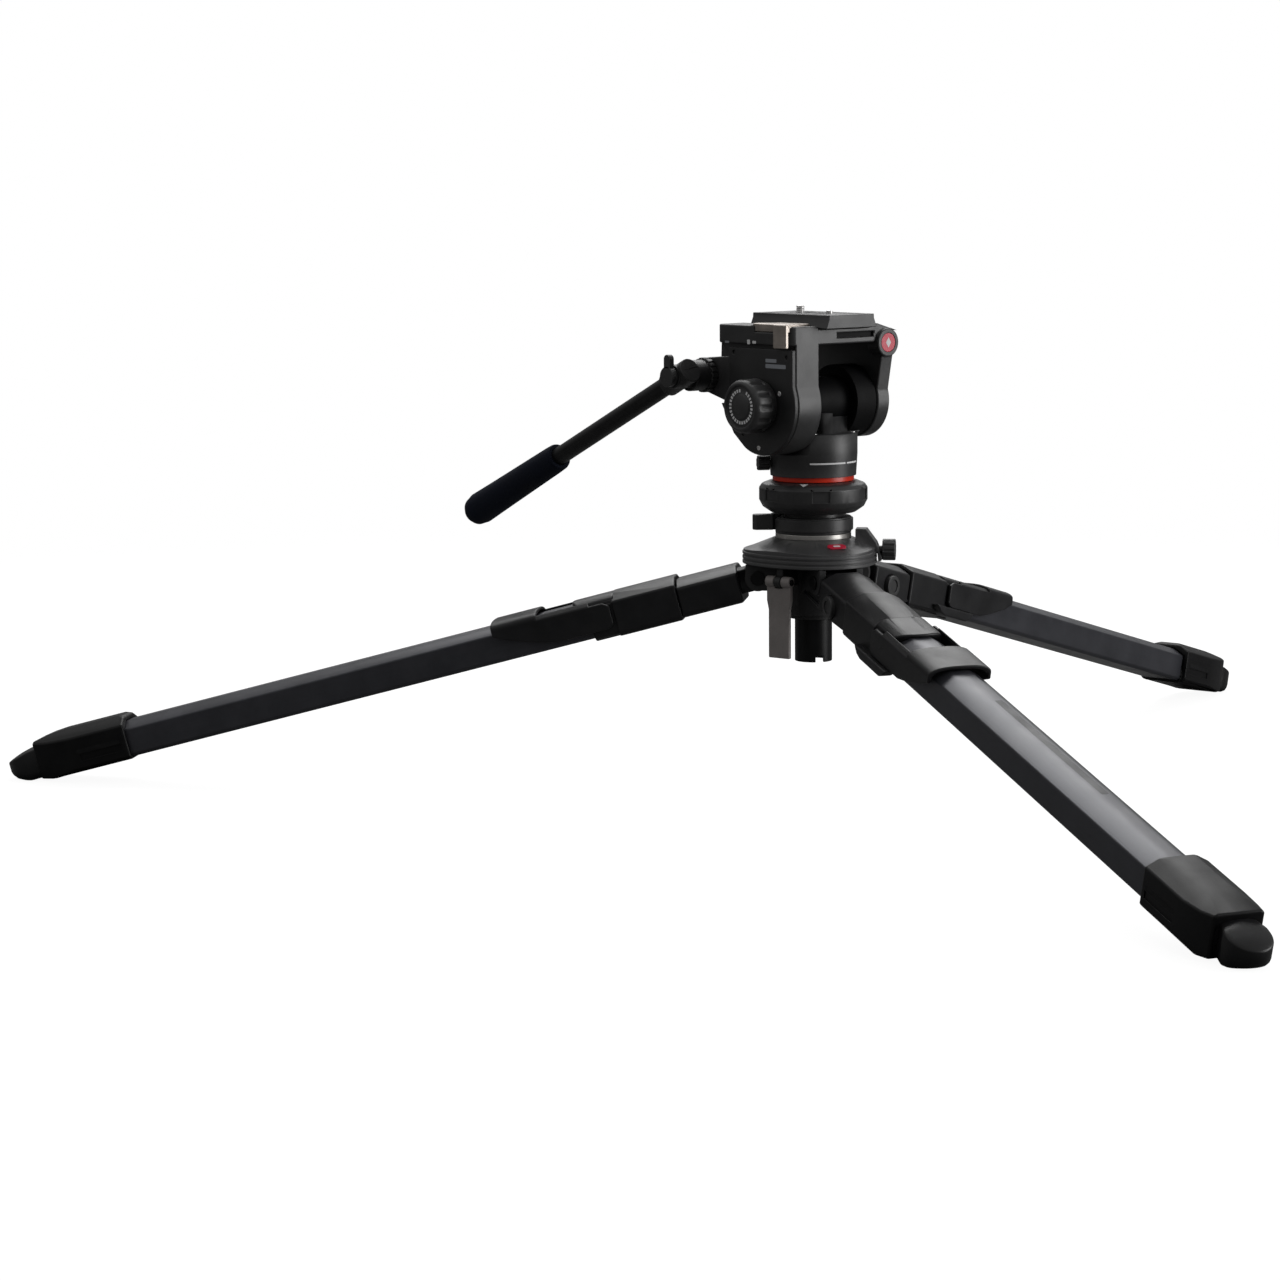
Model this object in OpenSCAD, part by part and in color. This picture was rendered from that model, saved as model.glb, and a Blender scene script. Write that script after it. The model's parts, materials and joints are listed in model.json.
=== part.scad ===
// Tripod with fluid head, legs spread to their widest stop, column down.
// Millimetres. The origin is the point where the pan axis meets the top face of the camera plate.
// +Z is up and the lens points along -Y. The tilt axis lies along X.

/* [Legs] */
// Turn of the first leg from +X about the pan axis
leg_yaw = 12; // [0:1:30]
// Angle of each leg below the horizontal when fully spread
leg_drop = 14.9; // [12:0.5:18]
// Distance from a leg's hinge pin to the tip of its rubber foot
leg_length = 610; // [560:2:680]
// Width of the outer leg tube
tube_w = 35; // [34:0.5:36]
// Height of the outer leg tube
tube_h = 27.4; // [27:0.2:27.8]
// Wall thickness of each leg tube
tube_wall = 1.6; // [1.2:0.1:1.8]
// Length of the foot housing that closes the bottom of the leg
foot_len = 76; // [66:2:86]

/* [Apex] */
// Radius from the pan axis to each leg's hinge pin
pin_r = 40; // [39:0.5:42]
// Height of the hinge pins
pin_z = -196.5; // [-197.5:0.5:-196]
// Radius of the round apex cover
apex_r = 50.4; // [50:0.2:52]
// Radius of the centre column
column_r = 14; // [13.5:0.1:14]
// Height of the lower end of the centre column
column_bottom = -260; // [-290:1:-250]

/* [Head] */
// Width of the head across the tilt axis
head_w = 104; // [103:0.5:108]
// Reach of the head in front of the pan axis
head_front = 34; // [34:0.5:37]
// Reach of the head behind the pan axis
head_rear = 49; // [48:0.5:52]
// Height of the tilt axis
tilt_z = -66; // [-67:0.25:-65.5]
// Outer radius of the pan drag ring
drag_ring_r = 40.5; // [39:0.25:42]
// Radius of the flat base that the head stands on
base_r = 30; // [29.5:0.25:30.4]

/* [Camera plate] */
// Length of the sliding camera plate
plate_l = 84; // [76:2:110]
// Width of the camera plate across its dovetail
plate_w = 50; // [49:0.25:50.5]
// Thickness of the camera plate
plate_t = 9.8; // [9.4:0.1:9.8]
// Position of the camera screw behind the pan axis
screw_y = 14; // [-16:1:16]

/* [Pan bar] */
// Angle of the pan bar below the horizontal
bar_drop = 25; // [15:1:30]
// Length of the pan bar from its clamp to its end
bar_length = 288; // [260:2:340]
// Radius of the bar tube
bar_r = 7; // [6.5:0.25:7.5]
// Largest radius of the hand grip
grip_r = 12.8; // [12:0.2:15]

/* [Hidden] */
$fn = 64;

gap = 0.1;          // clearance between pieces that touch or slide
run = 0.05;         // radial clearance of a shaft that turns in a bore
far = 400;          // half size of a cutting block

// Stations along a leg, measured from its hinge pin
casting_end = 62;
collar_end = 112;
cover_end = 144;
lever_pivot = 120;
bail_from = 170;
bail_to = 206;
foot_end = leg_length - 28;
foot_start = foot_end - foot_len;
tube_end = foot_start + 14;
floor_z = pin_z - (leg_length - 18) * sin(leg_drop) - 12.6 * cos(leg_drop);

// Levels down the pan axis
platform_top = -7.7;
platform_bottom = -21.5;
red_top = -120;
ring_top = -124.2;
ring_bottom = -147.6;
qr_top = -151;
qr_bottom = -163;
top_plate_bottom = -166.9;
cover_top = -167;
rim_top = -176;
rim_bottom = -186;
hub_bottom = -224;

leg_colour = [0.10, 0.10, 0.11];
tube_colour = [0.29, 0.29, 0.32];
head_colour = [0.09, 0.09, 0.09];
metal_colour = [0.55, 0.53, 0.51];
rubber_colour = [0.03, 0.03, 0.035];

// ---------- shared shapes ----------

// A rectangle with round corners, centred
module round_rect(w, h, r) {
    square([w - 2 * r, h], center = true);
    square([w, h - 2 * r], center = true);
    for (x = [-1, 1], y = [-1, 1])
        translate([x * (w / 2 - r), y * (h / 2 - r)]) circle(r);
}

// The leg's section: flat floor, upright sides, sloping shoulders and a flat crown
module leg_section(inset = 0, w = tube_w, h = tube_h) {
    a = w / 2 - inset;
    b = h / 2 - inset;
    shoulder = 5.7;
    corner = 2.5;
    crown = a * 0.42;
    polygon([[-a, -b + corner], [-a + corner, -b], [a - corner, -b], [a, -b + corner],
             [a, b - shoulder], [crown, b], [-crown, b], [-a, b - shoulder]]);
}

// A section with upright sides and a rounded crown: half its width, its top, and the height of the crown
module crown_section(a, top, rise) {
    base = top - rise;
    arch = [for (t = [8:8:172]) [a * sign(cos(t)) * pow(abs(cos(t)), 0.75), base + rise * pow(sin(t), 0.75)]];
    polygon(concat([[a, -15], [a, base]], arch, [[-a, base], [-a, -15]]));
}

// Pushes a section drawn across a leg from one station to another
module along(from, to) {
    translate([from, 0, 0]) rotate([90, 0, 90]) linear_extrude(to - from) children();
}

// Puts children in the frame of leg 0, 1 or 2: X runs out along the leg and Z is its upper side
module on_leg(i) {
    rotate([0, 0, leg_yaw + 120 * i]) translate([pin_r, 0, pin_z]) rotate([0, leg_drop, 0]) children();
}

// Puts children halfway between two legs: X points out from the pan axis
module between_legs(i) {
    rotate([0, 0, leg_yaw + 120 * i + 60]) children();
}

// A cylinder along X from one station to another
module x_rod(r, from, to) {
    translate([from, 0, 0]) rotate([0, 90, 0]) cylinder(r = r, h = to - from);
}

// A cylinder along Y, centred
module y_rod(r, length) {
    rotate([90, 0, 0]) cylinder(r = r, h = length, center = true);
}

// ---------- apex ----------

badge_yaw = 247;
badge_r = 40;
badge_z = -170.9;
badge_slope = 21;

cover_lobe = 2.9;   // how far the cover is drawn out towards each leg
body_r = 44.5;      // radius of the hub's flange, which the cover fits over

tongue_w = 24;
cheek_out = 17.8;
cheek_r = 9.8;
lever_at = 43;

module spider_body() {
    color(leg_colour) difference() {
        union() {
            translate([0, 0, rim_bottom - 1]) cylinder(r = body_r, h = 9);
            translate([0, 0, hub_bottom]) cylinder(r = 24, h = rim_bottom - hub_bottom + 1);
            for (i = [0:2]) rotate([0, 0, leg_yaw + 120 * i]) clevis();
            between_legs(1) lever_lug();
        }
        translate([0, 0, hub_bottom - 1]) cylinder(r = 16.6, h = 60);
        for (i = [0:2]) rotate([0, 0, leg_yaw + 120 * i]) hinge_bore();
        between_legs(1) translate([lever_at, 0, pin_z]) y_rod(2.05, 30);
    }
}

// Two cheeks that hold a leg's hinge pin
module clevis() {
    for (s = [-1, 1]) translate([0, s * (cheek_out + tongue_w / 2 + gap) / 2, 0]) {
        t = cheek_out - tongue_w / 2 - gap;
        translate([pin_r, 0, pin_z]) y_rod(cheek_r, t);
        translate([18, -t / 2, pin_z - cheek_r + 0.5]) cube([pin_r - 18, t, cheek_r * 2]);
        translate([18, -t / 2, pin_z]) cube([pin_r - 18 + cheek_r - 0.5, t, rim_bottom - gap - pin_z]);
    }
}

module hinge_bore() {
    translate([pin_r, 0, pin_z]) y_rod(3, 60);
}

// The lug that carries the column lock lever
module lever_lug() {
    translate([lever_at, 0, pin_z]) y_rod(4.5, 6);
    translate([20, -3, pin_z - 4.2]) cube([lever_at - 20, 6, rim_bottom - pin_z + 5]);
}

// Plan of the apex cover: a circle drawn out a little towards the legs
module cover_plan(inset) {
    polygon([
        for (a = [0:5:355])
            (apex_r - inset + cover_lobe * cos(3 * (a - leg_yaw))) * [cos(a), sin(a)]
    ]);
}

module spider_cover() {
    color(leg_colour) difference() {
        union() {
            intersection() {
                translate([0, 0, rim_bottom]) linear_extrude(cover_top - rim_bottom) cover_plan(0.8);
                cover_slope();
            }
            for (z = [0, 3.4, 7]) translate([0, 0, rim_bottom + z])
                linear_extrude(z == 7 ? 2.2 : 2.4) cover_plan(0);
            between_legs(2) screw_boss();
        }
        translate([0, 0, rim_bottom - 1]) cylinder(r = body_r + gap, h = 9.1);
        translate([0, 0, rim_bottom - 1]) cylinder(r = 25, h = 30);
        between_legs(2) translate([0, 0, rim_top]) x_rod(3.05, 38, 60);
    }
}

// The cone that the top of the cover follows
module cover_slope() {
    rotate_extrude()
        polygon([[20, rim_bottom - 1], [60, rim_bottom - 1], [60, rim_top - 2], [52, rim_top + 0.6],
                 [48, rim_top + 1.8], [30, cover_top], [20, cover_top]]);
}

// The raised block that the thumbscrew runs in
module screw_boss() {
    translate([0, 7, 0]) rotate([90, 0, 0]) linear_extrude(14)
        polygon([[32, -177.4], [32, -160], [40, -160], [47.5, -170], [51.5, -180], [51.5, -184], [49, -184],
                 [48.4, -177.4]]);
}

// An oval badge lying on the slope of the cover, facing away from the pan axis
module cover_badge() {
    color([0.72, 0.05, 0.08]) rotate([0, 0, badge_yaw]) translate([badge_r, 0, badge_z])
        rotate([0, badge_slope, 0]) linear_extrude(1) {
            circle(3.2);
            translate([-3.2, 0]) square([6.4, 8], center = false);
            translate([0, 8]) circle(3.2);
        }
}

module spider_pins() {
    color(leg_colour) {
        for (i = [0:2]) rotate([0, 0, leg_yaw + 120 * i])
            translate([pin_r, 0, pin_z]) {
                y_rod(3 - run, 2 * cheek_out);
                for (s = [-1, 1]) translate([0, s * (cheek_out + 0.8), 0]) y_rod(5.4, 1.4);
            }
        between_legs(1) translate([lever_at, 0, pin_z]) y_rod(2, 24);
    }
}

module column_sleeve() {
    color(rubber_colour) translate([0, 0, hub_bottom]) difference() {
        union() {
            translate([0, 0, -3]) cylinder(r = 16.5, h = 49);
            translate([0, 0, -3]) cylinder(r = 20, h = 3 - gap);
        }
        translate([0, 0, -10]) cylinder(r = column_r + run, h = 80);
    }
}

module column_tube() {
    color(rubber_colour) difference() {
        translate([0, 0, column_bottom]) cylinder(r = column_r, h = top_plate_bottom - column_bottom);
        translate([0, 0, column_bottom - 1]) cylinder(r = column_r - 2.5, h = 60);
        rotate([0, 0, -22]) translate([0, 0, column_bottom]) cube([6.4, 60, 9], center = true);
    }
}

module column_top_plate() {
    color(metal_colour) translate([0, 0, top_plate_bottom]) {
        cylinder(r = 28.3, h = qr_bottom - top_plate_bottom - gap);
        translate([0, 0, -4]) difference() {
            cylinder(r = 20, h = 4);
            translate([0, 0, -1]) cylinder(r = column_r + gap, h = 5);
        }
    }
}

module column_lock_lever() {
    color(metal_colour) between_legs(1) difference() {
        union() {
            translate([lever_at - 2, -10.8, pin_z - 14]) cube([3.5, 21.6, 14]);
            translate([lever_at, 0, pin_z]) y_rod(4.2, 21.6);
            translate([lever_at - 2, -9.2, pin_z - 57]) cube([3.5, 18.4, 44]);
            for (s = [-1, 1]) translate([0, s * 9.2, 0]) lever_shoulder(s);
        }
        translate([lever_at - 8, -3.3, pin_z - 4.9]) cube([16, 6.6, 22.9]);
        translate([lever_at, 0, pin_z]) y_rod(2.06, 40);
    }
}

// The slope between the fork and the narrower blade of the column lock lever
module lever_shoulder(side) {
    translate([lever_at - 2, 0, 0]) rotate([90, 0, 90]) linear_extrude(3.5)
        polygon([[0, pin_z - 14], [side * 1.6, pin_z - 14], [0, pin_z - 21]]);
}

module thumbscrew() {
    color(rubber_colour) between_legs(2) translate([0, 0, rim_top]) {
        x_rod(3, body_r + 0.5, 52);
        difference() {
            x_rod(8, 52, 61.5);
            for (a = [0:30:330]) rotate([a, 0, 0]) translate([50, 0, 8.6]) x_rod(1.3, 3, 20);
        }
    }
}

module qr_base() {
    color(head_colour) difference() {
        union() {
            translate([0, 0, qr_bottom]) cylinder(r = 28.4, h = qr_top - qr_bottom);
            translate([0, 0, qr_bottom + 2]) cylinder(r = 29.8, h = qr_top - qr_bottom - 3);
        }
        translate([0, 0, qr_top - 7]) cylinder(r = 22, h = 10);
        translate([0, 0, qr_bottom - 1]) cylinder(r = 5, h = 20);
        qr_place() translate([0, 0, qr_bottom + 1.8]) cylinder(r = 5.25, h = 20);
        qr_lever_space();
    }
}

qr_pin_angle = 80;
qr_tab_angle = 146;
qr_pin_r = 28.6;

module qr_place() {
    rotate([0, 0, qr_pin_angle]) translate([qr_pin_r, 0, 0]) children();
}

// The arc that the quick-release lever lies in
module qr_lever_space() {
    translate([0, 0, qr_bottom + 1.8]) rotate([0, 0, qr_pin_angle])
        rotate_extrude(angle = qr_tab_angle - qr_pin_angle + 8) translate([25.4, 0]) square([12, 20]);
}

// A curved arm with a pivot at one end and a finger tab at the other
module qr_lever() {
    color(head_colour) translate([0, 0, qr_bottom + 2]) linear_extrude(11.5) {
        polygon(concat(arc(32.8, qr_pin_angle, qr_tab_angle),
                       [for (a = [qr_tab_angle:-6:qr_pin_angle]) [25.8 * cos(a), 25.8 * sin(a)]]));
        qr_place() circle(5.2);
        rotate(qr_tab_angle - 6) polygon([[30, -5], [43, -5], [45.5, -2.5], [45.5, 2.5], [43, 5], [30, 5]]);
    }
}

// ---------- legs ----------

button_at = 36;     // station of the angle selector button
arm_y = 23;         // middle of each side arm of the leg lock lever

module top_casting(i) {
    color(leg_colour) on_leg(i) difference() {
        union() {
            y_rod(9.2, tongue_w);
            translate([0, tongue_w / 2, 0]) rotate([90, 0, 0]) linear_extrude(tongue_w)
                polygon([[0, -9.2], [0, 9.2], [16, 9.2], [16, -9.2]]);
            along(14.5, casting_end - gap) translate([0, -0.8]) leg_section(0, 40, 28.6);
            along(casting_end - 1, casting_end + 20) leg_section(tube_wall + gap);
        }
        y_rod(3 + run, 60);
        translate([button_at, -22, -4.5]) rotate([90, 0, 0]) cylinder(r = 8.1, h = 14, center = true);
    }
}

// The button on the side of the leg that releases its angle stops
module angle_button(i) {
    color(leg_colour) on_leg(i) translate([button_at, 0, -4.5]) rotate([90, 0, 0]) difference() {
        translate([0, 0, 18.2]) cylinder(r = 8, h = 5);
        translate([0, 0, 22.2]) cylinder(r = 5, h = 2);
    }
}

module lock_collar(i) {
    color(leg_colour) on_leg(i) difference() {
        union() {
            along(casting_end, collar_end) leg_section(0, 43, 33);
            along(casting_end, lever_pivot + 11) leg_section(0, 41, 30.5);
            along(collar_end - 2, cover_end - 12) cover_half();
            translate([cover_end - 12, 0, 4]) intersection() {
                linear_extrude(14) round_tab();
                translate([-1, 0, -4]) along(0, 14) cover_half();
            }
            translate([collar_end - 2, -12, -16.5]) cube([22, 24, 5]);
            clamp_housing();
        }
        along(casting_end - 1, cover_end + 1) leg_section(-0.1);
        translate([lever_pivot, 0, 0]) y_rod(2.5 + run, 60);
    }
}

// The housing of the clamp screw, low on the right-hand side of the collar
module clamp_housing() {
    translate([0, -19, 0]) rotate([90, 0, 0]) linear_extrude(8.5)
        polygon([[94, -9], [100, -14.5], [106, -16.4], [137, -16.4], [144, -13.4], [147, -9]]);
}

// The upper half of the section that the collar's top cover is cut from
module cover_half() {
    intersection() {
        crown_section(19.5, 16.5, 6.4);
        translate([-30, 6]) square([60, 30]);
    }
}

// Plan of the rounded end of the collar's top cover
module round_tab() {
    translate([-2, -19.5]) square([4, 39]);
    intersection() {
        translate([-22, 0]) circle(34);
        translate([0, -19.5]) square([14, 39]);
    }
}

module lock_lever(i) {
    color(leg_colour) on_leg(i) {
        for (s = [-1, 1]) {
            translate([0, s * arm_y, 0]) rotate([90, 0, 0]) linear_extrude(2.6, center = true)
                polygon([[collar_end + 1.4, 8.4], [collar_end + 1.4, -5.5], [lever_pivot - 4, -7.8],
                         [lever_pivot, -8.7], [bail_to - 46, -8.7], [bail_to - 32, -5.4], [bail_to - 10, 2],
                         [bail_to, 7], [bail_to, 11.4], [collar_end + 6, 11.4]]);
            translate([lever_pivot, s * 20, 0]) y_rod(2.5, 4);
            shoulder_strip(s);
        }
        bail_plate();
    }
}

// The sloping strip that joins a side arm of the lever to its top plate
module shoulder_strip(s) {
    along(lever_pivot + 9, bail_from + 1)
        polygon([[s * 22, 9], [s * 24.3, 9], [s * 24.3, 11.4], [s * 19.9, 14.8], [s * 19.9, 12.3],
                 [s * 21.7, 10.9]]);
}

// The plate of the lever that crosses over the top of the leg
module bail_plate() {
    along(bail_from, bail_to) difference() {
        crown_section(arm_y + 1.3, 18.3, 6.9);
        crown_section(arm_y - 1.3, 15.6, 6.2);
        translate([-30, -40]) square([60, 47]);
    }
}

module outer_tube(i) {
    color(tube_colour) on_leg(i) along(casting_end + gap, tube_end) difference() {
        leg_section(0);
        leg_section(tube_wall);
    }
}

middle_inset = tube_wall + 0.6;
lower_inset = middle_inset + tube_wall + 0.6;

module middle_tube(i) {
    color(tube_colour) on_leg(i) along(casting_end + 22, tube_end + 2) difference() {
        leg_section(middle_inset);
        leg_section(middle_inset + tube_wall);
    }
}

module lower_tube(i) {
    color(tube_colour) on_leg(i) along(casting_end + 30, foot_end - 20) difference() {
        leg_section(lower_inset);
        leg_section(lower_inset + tube_wall);
    }
}

// Cross section of the foot housing
module foot_section() {
    polygon([[-22.5, -12], [-19.5, -15], [19.5, -15], [22.5, -12], [22.5, 12.5],
             [9.5, 19.4], [-9.5, 19.4], [-22.5, 12.5]]);
}

// The housing's section, cut to its tapering side view and plan
module foot_block() {
    intersection() {
        along(foot_start, foot_end) foot_section();
        rotate([90, 0, 0]) linear_extrude(60, center = true)
            polygon([[foot_start, -15], [foot_start, 17.4], [foot_start + 4, 19.4], [foot_end - 24, 19.4],
                     [foot_end - 12, 18.4], [foot_end, 16.4], [foot_end, -13], [foot_end - 10, -15]]);
        translate([0, 0, -30]) linear_extrude(60)
            polygon([[foot_start, -22.5], [foot_end - 30, -22.5], [foot_end - 12, -20.5], [foot_end, -17.4],
                     [foot_end, 17.4], [foot_end - 12, 20.5], [foot_end - 30, 22.5], [foot_start, 22.5]]);
    }
}

module foot_housing(i) {
    color(leg_colour) on_leg(i) difference() {
        foot_block();
        along(foot_start - 1, tube_end + 2.5) leg_section(-0.25);
        along(tube_end, foot_end - 19.8) leg_section(lower_inset - 0.06);
        along(foot_end - 20.2, foot_end + 1) round_rect(28, 20, 6);
        for (s = [-1, 1]) translate([foot_start + 22, s * 22.6, -4]) cube([34, 1.6, 5], center = true);
    }
}

module rubber_foot(i) {
    color(rubber_colour) intersection() {
        on_leg(i) {
            along(foot_end - 19.6, foot_end + 3) round_rect(27.8, 19.8, 6);
            toe_block();
        }
        translate([-far * 2, -far * 2, floor_z]) cube([far * 4, far * 4, far]);
    }
}

// The toe: a round plan cut to a sloping side view
module toe_block() {
    e = leg_length;
    intersection() {
        translate([0, 0, -30]) linear_extrude(60) {
            translate([foot_end + 0.3, -15]) square([e - 15 - foot_end, 30]);
            translate([e - 15, 0]) circle(15);
        }
        rotate([90, 0, 0]) linear_extrude(60, center = true)
            polygon([[foot_end, 15.4], [e - 18, 13.6], [e - 9, 10.4], [e - 3.5, 6], [e - 0.4, 0], [e - 2, -6],
                     [e - 6, -10.2], [e - 12, -12.4], [e - 18, -12.6], [foot_end, -12.6]]);
    }
}

// ---------- head: base and pan ----------

module head_base() {
    color(head_colour) difference() {
        union() {
            translate([0, 0, qr_top - 6.8]) cylinder(r = 21.9, h = 9.8);
            translate([0, 0, ring_bottom - 0.4]) cylinder(r = base_r - 2, h = ring_top - ring_bottom + 0.3);
            translate([0, 0, ring_top - 1]) cylinder(r = 18, h = 9);
        }
        translate([0, 0, qr_top - 10]) cylinder(r = 4, h = 24);
    }
}

module red_ring() {
    color([0.75, 0.06, 0.03]) translate([0, 0, red_top - 3.8]) difference() {
        cylinder(r = base_r + 0.4, h = 3.8 - gap);
        translate([0, 0, -1]) cylinder(r = 18.6, h = 8);
    }
}

module pan_drag_ring() {
    r = drag_ring_r;
    color(head_colour) difference() {
        rotate_extrude($fn = 96) polygon([
            [base_r - 2 + gap, ring_top], [33, ring_top], [r - 2.2, ring_top - 2], [r, ring_top - 5],
            [r, ring_top - 14], [r - 2.6, ring_top - 19], [31.5, ring_bottom],
            [base_r - 2 + gap, ring_bottom]]);
        for (a = [0:60:300]) rotate([0, 0, a - 4])
            translate([r - 1.3, -6.5, ring_top - 13.4]) cube([6, 13, 7.8]);
    }
}

saddle_left = -24.4;
saddle_right = 39.4;
drum_r = 27;
post_r = 19;
drum_from = 20;

module pan_housing() {
    color(head_colour) difference() {
        union() {
            difference() {
                rotate_extrude() polygon([[0, red_top], [32, red_top], [33, red_top + 16], [33, red_top + 31],
                                          [32, red_top + 32], [0, red_top + 32]]);
                translate([saddle_left - 30, -40, red_top + 17]) cube([30, 80, 30]);
            }
            translate([0, 16, 0]) rotate([90, 0, 0]) linear_extrude(32)
                polygon([[saddle_left, -100], [30, -100], [30, -90], [saddle_right, -82],
                         [saddle_right, tilt_z - 6], [saddle_left, tilt_z - 6]]);
            translate([-13, -25.5, -90]) cube([9, 12, 17]);
            rotate([0, 0, 60]) translate([36, 0, red_top + 1]) cylinder(r = 9, h = 13);
        }
        translate([0, 0, tilt_z]) x_rod(post_r + gap, saddle_left - 1, drum_from + 0.5);
        translate([0, 0, tilt_z]) x_rod(drum_r + gap, drum_from - gap, saddle_right + 1);
        translate([0, 0, red_top - 1]) cylinder(r = 18 + run, h = 6);
        pan_knob_place() x_rod(3.05, 14, 50);
        rotate([0, 0, 60]) translate([36, 0, red_top + 12.4]) cylinder(r = 7.1, h = 4);
    }
}

module pan_knob_place() {
    rotate([0, 0, 150]) translate([0, 0, -110.5]) children();
}

module pan_lock_knob() {
    color(rubber_colour) pan_knob_place() {
        x_rod(3, 16, 35);
        difference() {
            x_rod(5.6, 33.5, 42.5);
            for (a = [0:45:315]) rotate([a, 0, 0]) translate([30, 0, 6.4]) x_rod(1.6, 0, 13);
        }
    }
}

module level_vial() {
    color([0.55, 0.85, 0.25]) rotate([0, 0, 60]) translate([36, 0, red_top + 12.5]) cylinder(r = 7, h = 2.6);
}

// ---------- head: tilt ----------

wall_in = -25;      // inner face of the left wall
arm_in = 40;        // inner face of the right arm

module tilt_cartridge() {
    color([0.05, 0.05, 0.05]) translate([0, 0, tilt_z]) {
        x_rod(post_r, saddle_left, drum_from);
        x_rod(drum_r, drum_from, saddle_right);
        x_rod(8, -42, saddle_left + 1);
        x_rod(8, saddle_right - 1, 50);
    }
}

// Points of an arc from one angle to another, about y and z
function arc(r, from, to, y = 0, z = 0, step = 6) =
    [for (a = [from:step:to]) [y + r * cos(a), z + r * sin(a)]];

// Side outline of the left wall, as Y and Z
module left_outline() {
    f = head_front;
    b = head_rear;
    top = platform_bottom + 1;
    polygon(concat([[b, top], [-f, top], [-f, -51]], arc(37, 168, 300, 0, tilt_z),
                   [[31, -88], [b - 4, -66], [b + 1, -56], [b + 1, -44]]));
}

// Side outline of the lug behind the left wall that carries the pan bar
module bar_lug_outline() {
    polygon(concat([[36, bar_root_z - 20]], arc(13, -84, 84, bar_root_y, bar_root_z),
                   [[36, bar_root_z + 15]]));
}

// Side outline of the right arm
module right_outline() {
    f = head_front;
    b = head_rear;
    top = platform_bottom + 1;
    polygon(concat([[b - 3, top], [1 - f, top], [3 - f, -34]], arc(28, 162, 330, 0, tilt_z), [[b - 8, -40]]));
}

// Stands a Y-Z outline between two stations on X
module wall(from, to) {
    translate([from, 0, 0]) rotate([90, 0, 90]) linear_extrude(to - from) children();
}

bar_root_y = 61;
bar_root_z = -46;
half_w = head_w / 2;
cover_t = 4;

module tilt_frame() {
    depth = head_front + head_rear;
    mid = (head_rear - head_front) / 2;
    color(head_colour) difference() {
        union() {
            wall(-half_w + cover_t, wall_in) left_outline();
            wall(-half_w + 1, -41.5) bar_lug_outline();
            wall(arm_in, half_w) right_outline();
            translate([0, mid, platform_bottom])
                linear_extrude(platform_top - platform_bottom) round_rect(head_w, depth, 5);
            translate([42, -head_front + 3, -22.2]) y_rod(10.6, 12);
            translate([23.4, -24, platform_top - 2]) cube([8.6, 62, 6]);
        }
        // channel for the camera plate, with a dovetail side
        translate([0, 100, 0]) rotate([90, 0, 0]) linear_extrude(200)
            polygon([[-25.6, 5], [-25.6, -plate_t - 0.2], [25.4, -plate_t - 0.2], [25.2, -9],
                     [23.4, -3.5], [23.4, 5]]);
        // recess for the plate lock lever
        translate([-half_w - 1, -31.5, -12.2]) cube([half_w - 24, 38.5, 20]);
        translate([plate_pivot_x, 6, -12.2]) cylinder(r = 8.6, h = 20);
        translate([plate_pivot_x, 6, -18]) cylinder(r = 2.5 + run, h = 20);
        // slope down to the right-hand edge of the platform
        translate([0, 100, 0]) rotate([90, 0, 0]) linear_extrude(200)
            polygon([[34, platform_top + 0.01], [half_w + 1, platform_top - 5.6], [half_w + 1, 0], [34, 0]]);
        // slot across the front lip
        translate([-7, -head_front - 1, -17]) cube([37, 4, 3.4]);
        // tilt axis
        translate([0, 0, tilt_z]) x_rod(8 + run, -60, 60);
        translate([0, 0, tilt_z]) x_rod(9.1, -60, -46);
        translate([0, bar_root_y, bar_root_z]) x_rod(4 + run, -60, -44);
        // seat of the round badge
        translate([42, -head_front - 3, -22.2]) y_rod(7.1, 2);
    }
}

plate_pivot_x = -43.4;

module front_badge() {
    color([0.72, 0.05, 0.08]) translate([42, -head_front - 2.4, -22.2]) y_rod(7, 0.8);
}

module tilt_side_cover() {
    color(head_colour) difference() {
        wall(-half_w, -half_w + cover_t - gap) left_outline();
        translate([-60, -60, -24.5]) cube([20, 160, 40]);
        translate([-60, 35.9, bar_root_z - 20.2]) cube([20, 40, 60]);
        translate([0, 0, tilt_z]) x_rod(9.2, -60, -46);
        for (p = [[-28, -30], [20, -88], [30, -28]]) translate([0, p[0], p[1]]) x_rod(1.6, -60, -51);
    }
}

module tilt_drag_knob() {
    color(rubber_colour) translate([0, 0, tilt_z]) difference() {
        union() {
            x_rod(9, -half_w - 1, -46.2);
            x_rod(18.5, -56, -half_w - 0.3);
            x_rod(20, -70, -55.9);
            translate([-73, 0, 0]) rotate([0, 90, 0]) cylinder(r1 = 17.5, r2 = 20, h = 3.01);
        }
        for (a = [0:30:330]) rotate([a, 0, 0]) translate([-80, 0, 21.4]) x_rod(2.4, 0, 22);
        x_rod(13.5, -80, -72);
    }
}

module tilt_lock_lever() {
    color(rubber_colour) translate([0, 0, tilt_z]) {
        x_rod(9, half_w + 0.3, half_w + 9);
        rotate([-20, 0, 0]) translate([half_w + 2, 0, 0]) {
            translate([0, 4, -4]) cube([5, 26, 8]);
            translate([0, 30, 0]) rotate([0, 90, 0]) cylinder(r = 4, h = 7);
        }
    }
}

// ---------- head: camera plate ----------

module plate_lock_lever() {
    color(metal_colour) {
        translate([-51.5, -26, -12]) cube([24.5, 32, 5.8]);
        translate([-half_w - 3.4, -31, -12]) cube([7, 14, 4]);
        translate([-half_w - 3.4, -31, -23.5]) cube([3, 14, 17.3]);
        translate([plate_pivot_x, 6, -12]) cylinder(r = 8.1, h = 5.8);
        translate([plate_pivot_x, 6, -17]) cylinder(r = 2.5, h = 6);
    }
}

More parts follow.
